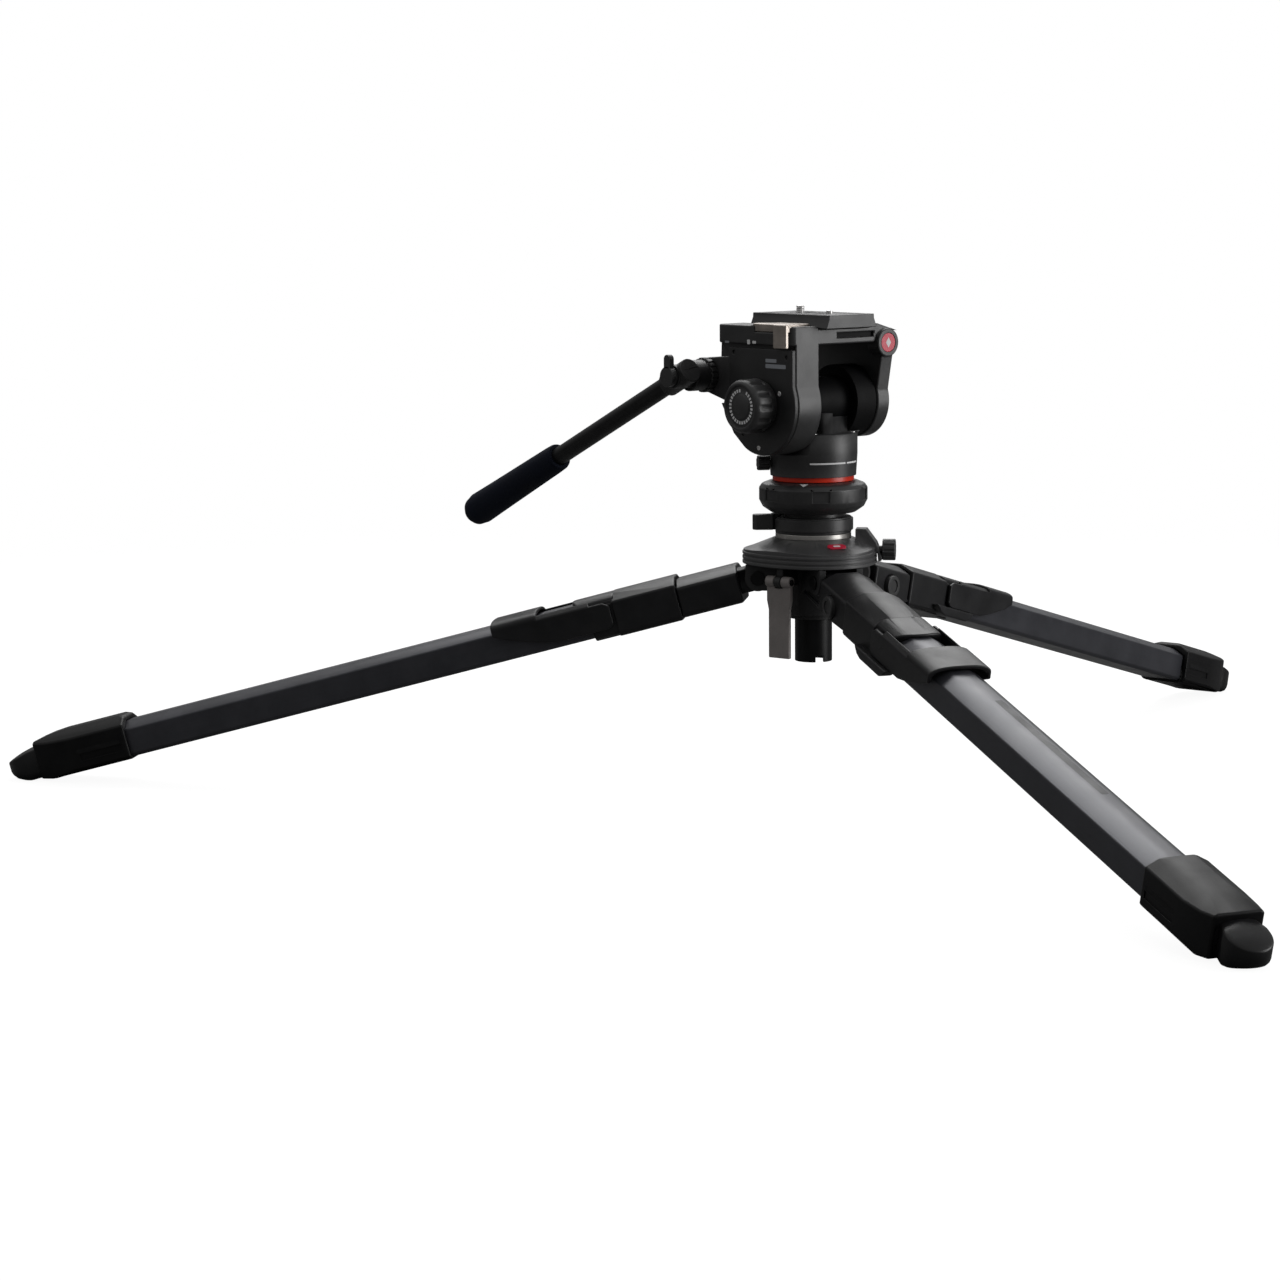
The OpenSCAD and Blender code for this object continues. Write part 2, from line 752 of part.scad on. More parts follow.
module camera_plate() {
    w = plate_w / 2;
    color(head_colour) difference() {
        translate([0, plate_l / 2, 0]) rotate([90, 0, 0]) linear_extrude(plate_l)
            polygon([[-w + 2.6, 0], [w - 2.6, 0], [w - 2.4, -3.2], [w, -9], [w, -plate_t], [-w, -plate_t],
                     [-w, -9], [-w + 2.4, -3.2]]);
        screw_slot(6.6, -12, 4);
        screw_slot(14, -12, -6);
        translate([0, video_y, -5]) cylinder(r = 2.6, h = 10);
        for (s = [-1, 1]) pad_place(s) linear_extrude(4) round_rect(8.2, plate_l - 12 + 0.2, 2.1);
    }
}

video_y = -18;

// The slot that the camera screw slides in, as wide as w, from low to high
module screw_slot(w, low, high) {
    half = 20 - w / 2;
    translate([0, 6, low]) linear_extrude(high - low)
        polygon(concat(arc(w / 2, 0, 180, 0, half, 10), arc(w / 2, 180, 360, 0, -half, 10)));
}

module pad_place(side) {
    translate([side * 15, 0, -1.2]) children();
}

module plate_pads() {
    color(rubber_colour) for (s = [-1, 1]) pad_place(s) linear_extrude(1.15) round_rect(8, plate_l - 12, 2);
}

module camera_screw() {
    color(metal_colour) translate([0, screw_y, 0]) {
        translate([0, 0, -8.6]) cylinder(r = 6.6, h = 2.4);
        translate([0, 0, -6.3]) cylinder(r = 2.9, h = 6.4);
        cylinder(r = 3.175, h = 5.5);
    }
}

module video_pin() {
    color(metal_colour) translate([0, video_y, -4.9]) cylinder(r = 2.5, h = 7.2);
}

// ---------- pan bar ----------

bar_x = -77;

// The frame of the pan bar: X runs out along it from the clamp
module on_bar() {
    translate([bar_x, bar_root_y, bar_root_z]) rotate([0, 0, 90]) rotate([0, bar_drop, 0]) children();
}

module pan_bar_clamp() {
    color(head_colour) {
        translate([0, bar_root_y, bar_root_z]) difference() {
            union() {
                x_rod(13, -57, -half_w + 0.9);
                x_rod(11.5, -70, -56.9);
                x_rod(9, -86.2, -68);
                x_rod(4, -half_w, -half_w + 6);
            }
            for (a = [0:20:340]) rotate([a, 0, 0]) translate([-56, 0, 13]) x_rod(0.9, -1.5, 6);
            rotate([0, 0, 0]) translate([bar_x, 0, 0]) rotate([0, 0, 90]) rotate([0, bar_drop, 0])
                x_rod(bar_r + gap, -8, 40);
        }
        on_bar() difference() {
            x_rod(9.2, -12, 16);
            x_rod(bar_r + gap, -8, 40);
        }
    }
}

module pan_bar_lever() {
    color(rubber_colour) translate([0, bar_root_y, bar_root_z]) {
        x_rod(7.5, -91.5, -86.4);
        translate([-91, -3.5, 3]) cube([4.4, 7, 10]);
        translate([-91, 0, 13]) rotate([0, 90, 0]) cylinder(r = 3.5, h = 4.4);
    }
}

module pan_bar_tube() {
    color([0.06, 0.06, 0.06]) on_bar() difference() {
        x_rod(bar_r, -7.8, bar_length - 20);
        x_rod(bar_r - 1.2, 4, bar_length);
    }
}

grip_from = 162;

module pan_bar_grip() {
    color([0.04, 0.045, 0.06]) on_bar() rotate([0, 90, 0]) rotate_extrude() polygon([
        [bar_r + gap, grip_from], [10, grip_from], [10.6, grip_from + 2], [10.9, grip_from + 9],
        [grip_r - 0.6, bar_length - 40], [grip_r, bar_length - 14], [grip_r - 1.4, bar_length - 6],
        [grip_r - 4.6, bar_length - 1.4], [grip_r - 8, bar_length], [0, bar_length],
        [0, bar_length - 19.5], [bar_r + gap, bar_length - 19.5]]);
}

// ---------- assembly ----------

spider_body();
spider_cover();
cover_badge();
spider_pins();
column_sleeve();
column_tube();
column_top_plate();
column_lock_lever();
thumbscrew();
qr_base();
qr_lever();
for (i = [0:2]) {
    leg = str("leg", i + 1, "_");
    top_casting(i);
    angle_button(i);
    lock_collar(i);
    lock_lever(i);
    outer_tube(i);
    middle_tube(i);
    lower_tube(i);
    foot_housing(i);
    rubber_foot(i);
}
head_base();
red_ring();
pan_drag_ring();
pan_housing();
pan_lock_knob();
level_vial();
tilt_cartridge();
tilt_frame();
tilt_side_cover();
tilt_drag_knob();
tilt_lock_lever();
plate_lock_lever();
front_badge();
camera_plate();
plate_pads();
camera_screw();
video_pin();
pan_bar_clamp();
pan_bar_lever();
pan_bar_tube();
pan_bar_grip();
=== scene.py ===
"""Looks of a tripod with a fluid head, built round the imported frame. Metres, Z up, the lens side is -Y."""

import json
import math

import bmesh
import bpy
from mathutils import Matrix, Quaternion, Vector


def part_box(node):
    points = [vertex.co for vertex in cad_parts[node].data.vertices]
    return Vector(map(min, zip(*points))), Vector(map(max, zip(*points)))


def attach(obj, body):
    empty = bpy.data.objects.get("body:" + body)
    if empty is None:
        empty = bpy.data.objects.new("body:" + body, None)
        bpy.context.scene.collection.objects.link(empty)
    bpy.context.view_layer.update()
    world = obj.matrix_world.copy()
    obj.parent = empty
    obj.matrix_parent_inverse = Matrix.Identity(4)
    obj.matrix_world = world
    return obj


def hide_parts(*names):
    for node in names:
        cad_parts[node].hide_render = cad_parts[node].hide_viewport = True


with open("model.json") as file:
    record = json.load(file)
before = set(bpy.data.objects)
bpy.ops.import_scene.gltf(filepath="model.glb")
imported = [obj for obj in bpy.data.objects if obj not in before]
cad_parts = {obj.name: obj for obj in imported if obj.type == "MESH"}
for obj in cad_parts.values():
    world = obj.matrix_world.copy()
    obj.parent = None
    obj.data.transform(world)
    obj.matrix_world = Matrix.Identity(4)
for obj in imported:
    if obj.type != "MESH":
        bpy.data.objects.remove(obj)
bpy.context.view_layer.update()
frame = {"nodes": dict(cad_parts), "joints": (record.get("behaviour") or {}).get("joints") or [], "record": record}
MM = 0.001
BODY_OF_NODE = {n: b for b, ns in frame["record"]["behaviour"]["bodies"].items() for n in ns}
SLOT_OF_NODE = {n: o.data.materials[0].name for n, o in frame["nodes"].items()}


# ---------- places ----------


def joint(name):
    """The record's joint of that name."""
    return next(j for j in frame["joints"] if j["name"] == name)


def axes(x, y, origin):
    """A placement whose X and Y run along these directions, in metres."""
    x, y = Vector(x).normalized(), Vector(y).normalized()
    m = Matrix((x, y, x.cross(y))).transposed().to_4x4()
    m.translation = Vector(origin)
    return m


def leg_place(n):
    """A leg's own frame: origin on its hinge pin, X out along the leg, Z on its upper side."""
    fold = joint(f"leg{n}_fold")
    return axes(joint(f"leg{n}_middle_slide")["axis"], fold["axis"], fold["pos_m"])


def bar_place():
    """The pan bar's own frame: origin at its root in the clamp, X out along the bar."""
    low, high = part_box("pan_bar_tube")
    centre = (low + high) / 2
    root = Vector(joint("bar_swing")["pos_m"])
    root.x = centre.x
    x = (centre - root).normalized()
    return axes(x, (-1, 0, 0), root)


LEGS = {n: leg_place(n) for n in (1, 2, 3)}
BAR = bar_place()
TILT = Matrix.Translation(Vector(joint("tilt_turn")["pos_m"]))
HERE = Matrix.Identity(4)


# ---------- materials ----------


def add(tree, kind, inputs=None, **settings):
    """Adds a node, sets its options, and fills or links its inputs by name or number."""
    made = tree.nodes.new(kind)
    for key, value in settings.items():
        setattr(made, key, value)
    for key, value in (inputs or {}).items():
        if isinstance(value, bpy.types.NodeSocket):
            tree.links.new(value, made.inputs[key])
        else:
            made.inputs[key].default_value = value
    return made


def ramp(tree, value, low, high, to_low, to_high):
    """Maps a value from one range to another, clamped."""
    return add(
        tree,
        "ShaderNodeMapRange",
        {0: value, 1: low, 2: high, 3: to_low, 4: to_high},
    ).outputs[0]


def vary(tree, noise, amount):
    """A factor that follows a noise texture and varies by this amount either side of 1."""
    return ramp(tree, noise.outputs[0], 0.3, 0.7, 1 - amount, 1 + amount)


# Finishes by name.
MATERIALS = {}
CLOUD_SCALE = 45
EVEN = (1, 1, 1)
# Stretches of the grain: drawn out along X, along Z or along Y.
ALONG = (0.02, 1, 1)
UPRIGHT = (1, 1, 0.02)
ACROSS = (1, 0.03, 1)
# Rings as turning leaves them: how close they lie, and the plane that they lie in.
TURNED_RINGS = (9000, (1, 1, 0))


def surface(
    name,
    colour,
    rough,
    metallic=0.0,
    grain=(2200, 0.03),
    stretch=EVEN,
    mottle=0.18,
    wear=0.35,
    specular=0.5,
    rings=None,
    coat=0.0,
):
    """A finish with fine grain, cloudy tone and roughness, and edges worn a little lighter.

    The grain is its scale and its depth in mm.
    """
    material = bpy.data.materials.new(name)
    material.use_nodes = True
    tree = material.node_tree
    tree.nodes.clear()
    bsdf = add(tree, "ShaderNodeBsdfPrincipled", {"Metallic": metallic, "Specular IOR Level": specular})
    bsdf.inputs["Coat Weight"].default_value = coat
    bsdf.inputs["Coat Roughness"].default_value = 0.25
    add(tree, "ShaderNodeOutputMaterial", {"Surface": bsdf.outputs[0]})
    place = add(tree, "ShaderNodeTexCoord").outputs["Object"]
    run = add(tree, "ShaderNodeMapping", {"Vector": place, "Scale": stretch}).outputs[0]
    grain_scale, grain_depth = grain
    fine = add(
        tree,
        "ShaderNodeTexNoise",
        {"Vector": run, "Scale": grain_scale, "Detail": 3.0, "Roughness": 0.6},
    )
    cloud = add(
        tree,
        "ShaderNodeTexNoise",
        {"Vector": place, "Scale": CLOUD_SCALE, "Detail": 5.0, "Roughness": 0.62},
    )
    tone = vary(tree, cloud, mottle)
    fine_tone = vary(tree, fine, mottle * 0.6)
    both = add(tree, "ShaderNodeMath", {0: tone, 1: fine_tone}, operation="MULTIPLY").outputs[0]
    if stretch != EVEN:
        streak = add(tree, "ShaderNodeTexNoise", {"Vector": run, "Scale": grain_scale / 6, "Detail": 2.0})
        streaks = vary(tree, streak, mottle * 0.5)
        both = add(tree, "ShaderNodeMath", {0: both, 1: streaks}, operation="MULTIPLY").outputs[0]
    tinted = add(tree, "ShaderNodeVectorMath", {0: colour, "Scale": both}, operation="SCALE").outputs[0]
    point = add(tree, "ShaderNodeNewGeometry").outputs["Pointiness"]
    edge = ramp(tree, point, 0.515, 0.6, 0.0, wear)
    patches = ramp(tree, cloud.outputs[0], 0.35, 0.65, 0.25, 1.0)
    worn = add(tree, "ShaderNodeMath", {0: edge, 1: patches}, operation="MULTIPLY").outputs[0]
    lighter = tuple(min(1.0, c * 2.4 + 0.035) for c in colour)
    mixed = add(tree, "ShaderNodeMix", {0: worn, 6: tinted, 7: (*lighter, 1.0)}, data_type="RGBA")
    tree.links.new(mixed.outputs[2], bsdf.inputs["Base Color"])
    rough_var = ramp(tree, cloud.outputs[0], 0.3, 0.7, rough * 0.86, min(1.0, rough * 1.14))
    tree.links.new(rough_var, bsdf.inputs["Roughness"])
    height = fine.outputs[0]
    if rings:
        closeness, plane = rings
        flat = add(tree, "ShaderNodeVectorMath", {0: place, 1: plane}, operation="MULTIPLY").outputs[0]
        radius = add(tree, "ShaderNodeVectorMath", {0: flat}, operation="LENGTH").outputs["Value"]
        turned = add(tree, "ShaderNodeMath", {0: radius, 1: closeness}, operation="MULTIPLY").outputs[0]
        wave = add(tree, "ShaderNodeMath", {0: turned}, operation="SINE").outputs[0]
        height = add(tree, "ShaderNodeMath", {0: height, 1: wave}, operation="ADD").outputs[0]
    bump = add(tree, "ShaderNodeBump", {"Height": height, "Distance": grain_depth * MM, "Strength": 0.9})
    tree.links.new(bump.outputs[0], bsdf.inputs["Normal"])
    MATERIALS[name] = material


surface("apex_plastic", (0.055, 0.055, 0.056), 0.42, grain=(1500, 0.022))
surface("apex_casting", (0.007, 0.007, 0.0075), 0.6, grain=(1100, 0.06))
surface("badge_red", (0.56, 0.012, 0.045), 0.4, mottle=0.06, wear=0.1, coat=0.1, grain=(900, 0.004))
surface("steel", (0.8, 0.79, 0.78), 0.34, metallic=0.75, mottle=0.1, grain=(1800, 0.01))
surface("sleeve_black", (0.009, 0.009, 0.009), 0.62)
surface("column_alu", (0.0032, 0.0032, 0.0036), 0.36, specular=0.2, stretch=UPRIGHT, grain=(1600, 0.012))
surface("ring_grey", (0.42, 0.405, 0.385), 0.34, metallic=0.8, rings=TURNED_RINGS, grain=(1500, 0.01))
surface("lever_grey", (0.2, 0.182, 0.175), 0.6, metallic=0.1, grain=(1300, 0.05), mottle=0.12)
surface("knob_black", (0.026, 0.026, 0.0265), 0.42, grain=(1700, 0.03))
surface("leg_plastic", (0.008, 0.008, 0.0088), 0.38, specular=0.28, grain=(1500, 0.035))
TUBE_GRAIN = {"stretch": ALONG, "grain": (2200, 0.008), "mottle": 0.07}
surface("tube_alu", (0.038, 0.039, 0.046), 0.36, metallic=0.4, **TUBE_GRAIN)
surface("inner_tube_alu", (0.05, 0.051, 0.06), 0.32, metallic=0.5, **TUBE_GRAIN)
surface("rubber_black", (0.0025, 0.0025, 0.003), 0.36, specular=0.35, grain=(1300, 0.05), wear=0.3)
surface("head_black", (0.024, 0.024, 0.0245), 0.4, grain=(1500, 0.035))
surface("head_plastic", (0.0135, 0.0135, 0.014), 0.45, grain=(1200, 0.045))
surface("foot_black", (0.0025, 0.0025, 0.0028), 0.4, specular=0.17, grain=(1500, 0.035))
# Near-black finish for painted shade: on the tilt cartridge inside the head's opening, and on sheets set in gaps
# and slots.
surface("painted_shade_black", (0.0025, 0.0025, 0.0028), 0.6, specular=0.1, grain=(900, 0.05))
surface("ring_red", (0.6, 0.022, 0.003), 0.33, mottle=0.08, grain=(1500, 0.01), wear=0.1)
surface("vial_green", (0.45, 0.8, 0.12), 0.12, mottle=0.05, grain=(600, 0.002))
surface("lever_silver", (0.36, 0.32, 0.285), 0.36, metallic=0.7, stretch=ACROSS, grain=(1700, 0.02))
surface("bar_black", (0.005, 0.005, 0.0055), 0.4, specular=0.25, stretch=ALONG, grain=(1800, 0.012))
surface("grip_foam", (0.0065, 0.0085, 0.016), 0.8, specular=0.12, grain=(700, 0.2), wear=0.1)
surface("print_white", (0.72, 0.72, 0.72), 0.55, mottle=0.08, wear=0.0)
surface("print_grey", (0.27, 0.285, 0.31), 0.55, mottle=0.08, wear=0.0)
surface("print_dark", (0.02, 0.02, 0.022), 0.5, mottle=0.08, wear=0.0)


# ---------- mesh work ----------


def finish_mesh(bm, name, place, sharp=32):
    """Turns mesh code into an object with smooth shading that breaks at sharp edges."""
    bmesh.ops.recalc_face_normals(bm, faces=bm.faces)
    data = bpy.data.meshes.new(name)
    bm.to_mesh(data)
    bm.free()
    data.shade_smooth()
    data.set_sharp_from_angle(angle=math.radians(sharp))
    made = bpy.data.objects.new(name, data)
    bpy.context.scene.collection.objects.link(made)
    made.matrix_world = place
    return made


def use(made, slot, body, finish=None):
    """Gives a piece its slot, its body, and a finish if it isn't the slot's own."""
    made.data.materials.clear()
    made.data.materials.append(MATERIALS[finish or slot])
    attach(made, body)


def reach(face, edge):
    """How far a face reaches from one of its edges."""
    a, b = (v.co for v in edge.verts)
    along = (b - a).normalized()
    return max(((v.co - a) - along * (v.co - a).dot(along)).length for v in face.verts)


# Nodes whose finish isn't the one that their slot is named after. The tilt cartridge is painted near-black:
# painted shade inside the head's opening.
FINISH_OF_NODE = {"tilt_cartridge": "painted_shade_black", "spider_pins": "foot_black"}
FINISH_OF_NODE.update({f"leg{n}_foot_housing": "foot_black" for n in LEGS})


def stand_for(made, node):
    """Makes a piece the look of a CAD node, with the node's body, slot and finish."""
    use(made, SLOT_OF_NODE[node], BODY_OF_NODE[node], FINISH_OF_NODE.get(node))
    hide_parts(node)


# Vertices this near are welded, and faces bent by less than this are merged.
WELD_DISTANCE = 2e-6
FLAT_ANGLE = math.radians(0.6)
# Outer edges bent by more than this are rounded, by no more than this share of the narrower face beside them.
SHARP_ANGLE = math.radians(30)
ROOM_SHARE = 0.42
# Shading breaks where a rounded piece still bends by more than this.
SHADING_BREAK = math.radians(38)


def rounded(node, width, place=HERE):
    """A copy of a CAD node that stands for it, with its outer edges rounded by up to this width in mm."""
    bm = bmesh.new()
    bm.from_mesh(frame["nodes"][node].data)
    bmesh.ops.transform(bm, matrix=place.inverted(), verts=bm.verts)
    bmesh.ops.remove_doubles(bm, verts=bm.verts, dist=WELD_DISTANCE)
    if not width:
        stand_for(finish_mesh(bm, "r_" + node, place), node)
        return
    bmesh.ops.dissolve_limit(bm, angle_limit=FLAT_ANGLE, verts=bm.verts, edges=bm.edges)
    weight = bm.edges.layers.float.new("bevel_weight_edge")
    for edge in bm.edges:
        if edge.is_manifold and edge.is_convex and edge.calc_face_angle() > SHARP_ANGLE:
            room = ROOM_SHARE * min(reach(face, edge) for face in edge.link_faces)
            edge[weight] = min(1.0, room / (width * MM))
    made = finish_mesh(bm, "r_" + node, place)
    bevel = made.modifiers.new("round", "BEVEL")
    bevel.limit_method = "WEIGHT"
    bevel.width = width * MM
    bevel.segments = 3
    bevel.use_clamp_overlap = False
    bevel.harden_normals = False
    bevel.miter_outer = "MITER_ARC"
    baked = bpy.data.meshes.new_from_object(made.evaluated_get(bpy.context.evaluated_depsgraph_get()))
    made.modifiers.clear()
    made.data = baked
    baked.shade_smooth()
    baked.set_sharp_from_angle(angle=SHADING_BREAK)
    smooth = made.modifiers.new("normals", "WEIGHTED_NORMAL")
    smooth.keep_sharp = True
    stand_for(made, node)


# Widths of the rounded edges in mm. Edges of a piece with 0 stay as they are.
EDGE_ROUNDING = {
    "spider_body": 0.8,
    "spider_cover": 0.5,
    "cover_badge": 0.3,
    "spider_pins": 0.4,
    "column_sleeve": 0.4,
    "column_tube": 0.5,
    "column_top_plate": 0.5,
    "column_lock_lever": 0.7,
    "thumbscrew": 0.6,
    "qr_base": 0.6,
    "qr_lever": 0.8,
    "head_base": 0.5,
    "red_ring": 0.4,
    "pan_drag_ring": 0.8,
    "pan_housing": 0.0,
    "pan_lock_knob": 0.6,
    "level_vial": 0.5,
    "tilt_cartridge": 0.5,
    "tilt_frame": 1.2,
    "tilt_side_cover": 0.9,
    "tilt_lock_lever": 0.9,
    "plate_lock_lever": 0.7,
    "front_badge": 0.3,
    "camera_plate": 0.5,
    "video_pin": 0.4,
    "pan_bar_clamp": 0.7,
    "pan_bar_lever": 0.4,
    "pan_bar_tube": 0.4,
    "pan_bar_grip": 0.6,
}
LEG_ROUNDING = {
    "top_casting": 1.8,
    "angle_button": 0.7,
    "lock_collar": 1.4,
    "lock_lever": 1.0,
    "outer_tube": 0.9,
    "middle_tube": 0.8,
    "lower_tube": 0.8,
    "foot_housing": 1.6,
}
NODES_ALONG_BAR = ("pan_bar_tube", "pan_bar_grip")

for node, width in EDGE_ROUNDING.items():
    rounded(node, width, place=BAR if node in NODES_ALONG_BAR else HERE)
for n, place in LEGS.items():
    for part, width in LEG_ROUNDING.items():
        rounded(f"leg{n}_{part}", width, place=place)


# ---------- shapes made here ----------


def lathe(profile, segments=72, closed=False, groove=None):
    """A shape turned about Z from (radius, height) points in mm, and the depth of grooves where they cut."""
    bm = bmesh.new()
    rings = []
    for radius, height, *cut in profile:
        if radius == 0:
            rings.append([bm.verts.new((0, 0, height * MM))])
            continue
        ring = []
        for k in range(segments):
            a = 2 * math.pi * k / segments
            r = radius - (cut[0] * groove(a) if cut else 0)
            ring.append(bm.verts.new((r * math.cos(a) * MM, r * math.sin(a) * MM, height * MM)))
        rings.append(ring)
    pairs = list(zip(rings, rings[1:])) + ([(rings[-1], rings[0])] if closed else [])
    for low, high in pairs:
        for k in range(segments):
            j = (k + 1) % segments
            corners = [low[k % len(low)], low[j % len(low)], high[j % len(high)], high[k % len(high)]]
            bm.faces.new(dict.fromkeys(corners))
    return bm


def slab(outline, low, high, bm=None, shift=(0, 0)):
    """A flat piece with this outline in mm, from one height to another, added to a mesh if one is given."""
    bm = bm or bmesh.new()
    dx, dy = shift
    rims = []
    for height in (low, high):
        rims.append([bm.verts.new(((x + dx) * MM, (y + dy) * MM, height * MM)) for x, y in outline])
    bm.faces.new(rims[0][::-1])
    bm.faces.new(rims[1])
    for k in range(len(outline)):
        j = (k + 1) % len(outline)
        bm.faces.new((rims[0][k], rims[0][j], rims[1][j], rims[1][k]))
    return bm


def pill(width, height, radius, steps=5):
    """Outline of a rectangle with round corners."""
    points = []
    for x, y, start in ((1, 1, 0), (-1, 1, 90), (-1, -1, 180), (1, -1, 270)):
        for k in range(steps + 1):
            a = math.radians(start + 90 * k / steps)
            points.append((
                x * (width / 2 - radius) + radius * math.cos(a),
                y * (height / 2 - radius) + radius * math.sin(a),
            ))
    return points


def band(start, end, low, high, radius, thick, steps=36):
    """A thin strip that wraps part of the way round the pan axis."""
    bm = bmesh.new()
    section = ((radius, low), (radius + thick, low), (radius + thick, high), (radius, high))
    rings = []
    for k in range(steps + 1):
        a = math.radians(start + (end - start) * k / steps)
        rings.append([bm.verts.new((r * math.cos(a) * MM, r * math.sin(a) * MM, z * MM)) for r, z in section])
    for one, two in zip(rings, rings[1:]):
        for k in range(4):
            j = (k + 1) % 4
            bm.faces.new((one[k], one[j], two[j], two[k]))
    bm.faces.new(rings[0][::-1])
    bm.faces.new(rings[-1])
    return bm


def on_turned(angle, radius, height, lean=0.0):
    """A place on a shape turned about the pan axis: Z out of it, leaning upwards, and X running round it."""
    a, b = math.radians(angle), math.radians(lean)
    out = Vector((math.cos(a), math.sin(a), 0))
    normal = out * math.cos(b) + Vector((0, 0, math.sin(b)))
    along = Vector((-math.sin(a), math.cos(a), 0))
    return axes(along, normal.cross(along), out * radius * MM + Vector((0, 0, height * MM)))


def face_place(node, way):
    """The place of the node's flat face that looks most nearly this way: origin mid-face, Z out of it."""
    faces = frame["nodes"][node].data.polygons
    normal = max(faces, key=lambda f: f.normal.dot(Vector(way))).normal.copy()
    same_way, same_level = 0.9995, 1e-5
    flat = [f for f in faces if f.normal.dot(normal) > same_way]
    level = max(f.center.dot(normal) for f in flat)
    flat = [f for f in flat if f.center.dot(normal) > level - same_level]
    centre = sum((f.center * f.area for f in flat), Vector()) / sum(f.area for f in flat)
    x = Vector((0, 0, 1)).cross(normal)
    return axes(x, normal.cross(x), centre)


def tilt_drag_knob():
    """The drag knob: a grooved grip, a rim, a sunk dial with plain marks, and a raised middle."""
    deep, groove_count = 1.0, 12
    profile = [
        (0, 46.2), (9, 46.2), (9, 52.4), (18.1, 52.4), (18.5, 52.8), (18.5, 55.7), (19.5, 56.0),
        (20, 56.6), (20, 57.6, 0), (20, 58.4, deep), (20, 67.6, deep), (19.8, 69.6, deep * 0.5),
        (19.2, 71.0), (18.2, 72.2), (17.4, 72.8), (16.9, 73.0), (16.1, 73.0), (15.6, 72.7),
        (15.3, 71.8), (15.0, 71.5), (9.7, 71.5), (9.3, 71.7), (9.0, 72.2), (8.5, 72.4), (0, 72.5),
    ]
    place = axes((0, 0, 1), (0, 1, 0), (0, *TILT.translation.yz))

    def grooves(a):
        return max(0.0, math.cos(groove_count * a)) ** 0.6

    made = finish_mesh(lathe(profile, 144, groove=grooves), "tilt_drag_knob_turned", place, sharp=40)
    use(made, "knob_black", "tilt_drag_knob")
    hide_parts("tilt_drag_knob")
    # Two of the places round the dial stay empty.
    dial_places = 28
    marks = None
    for k in range(dial_places - 2):
        a = 2 * math.pi * (k + 0.5) / dial_places
        corners = ((10.6, -0.75), (12.9, -0.85), (12.9, 0.85), (10.6, 0.75))
        outline = [(r * math.cos(a) - t * math.sin(a), r * math.sin(a) + t * math.cos(a)) for r, t in corners]
        marks = slab(outline, 71.45, 71.62, marks)
    use(finish_mesh(marks, "tilt_drag_marks", place), "knob_black", "tilt_drag_knob", "print_white")


def camera_screw():
    """The camera screw, with its finger disc below the plate and a thread above it."""
    low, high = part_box("camera_screw")
    pitch, root, crest = 1.27, 2.72, 3.17
    profile = [
        (0, -8.6), (6.2, -8.6), (6.6, -8.2), (6.6, -6.6), (6.2, -6.2), (2.9, -6.2), (2.9, -0.1), (root, 0.1),
    ]
    turns = 4
    for k in range(turns):
        z = 0.15 + k * pitch
        profile += [(root, z), (crest, z + 0.5), (crest, z + 0.62), (root, z + 1.1)]
    profile += [(2.5, 5.3), (2.1, 5.5), (0, 5.5)]
    place = Matrix.Translation(((low.x + high.x) / 2, (low.y + high.y) / 2, 0))
    made = finish_mesh(lathe(profile, 48), "camera_screw_threaded", place)
    use(made, "steel", "camera_screw")
    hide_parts("camera_screw")


def plate_pads():
    """Two rubber pads on the camera plate, each crossed by fine ridges."""
    low, high = (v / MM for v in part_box("plate_pads"))
    width, length = 8, high.y - low.y
    ridges, ridge_width, end_margin = 26, 1.5, 6
    bm = None
    for side in (-1, 1):
        middle = side * ((high.x - low.x) - width) / 2
        bm = slab(pill(width, length, 2), low.z, high.z - 0.3, bm, shift=(middle, 0))
        for k in range(ridges):
            y = (k - (ridges - 1) / 2) * (length - end_margin) / (ridges - 1)
            ridge = pill(width - 1.2, ridge_width, 0.5, 2)
            bm = slab(ridge, high.z - 0.31, high.z, bm, shift=(middle, y))
    made = finish_mesh(bm, "plate_pads_ridged", Matrix.Translation((0, (low.y + high.y) / 2 * MM, 0)))
    use(made, "rubber_black", BODY_OF_NODE["plate_pads"])
    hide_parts("plate_pads")


def screw_head(name, place, body, r):
    """A small round screw head of radius r with a sunk socket."""
    profile = [
        (0, -0.3), (r, -0.3), (r, 0.35), (r * 0.84, 0.6), (r * 0.5, 0.62), (r * 0.48, 0.15), (0, 0.15),
    ]
    use(finish_mesh(lathe(profile, 24), name, place), "steel", body)


def side_place(y, z):
    """A place on the flat left side of the head, which faces -X: Z out of it, Y up."""
    return axes((0, -1, 0), (0, 0, 1), (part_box("tilt_side_cover")[0].x, y * MM, z * MM))


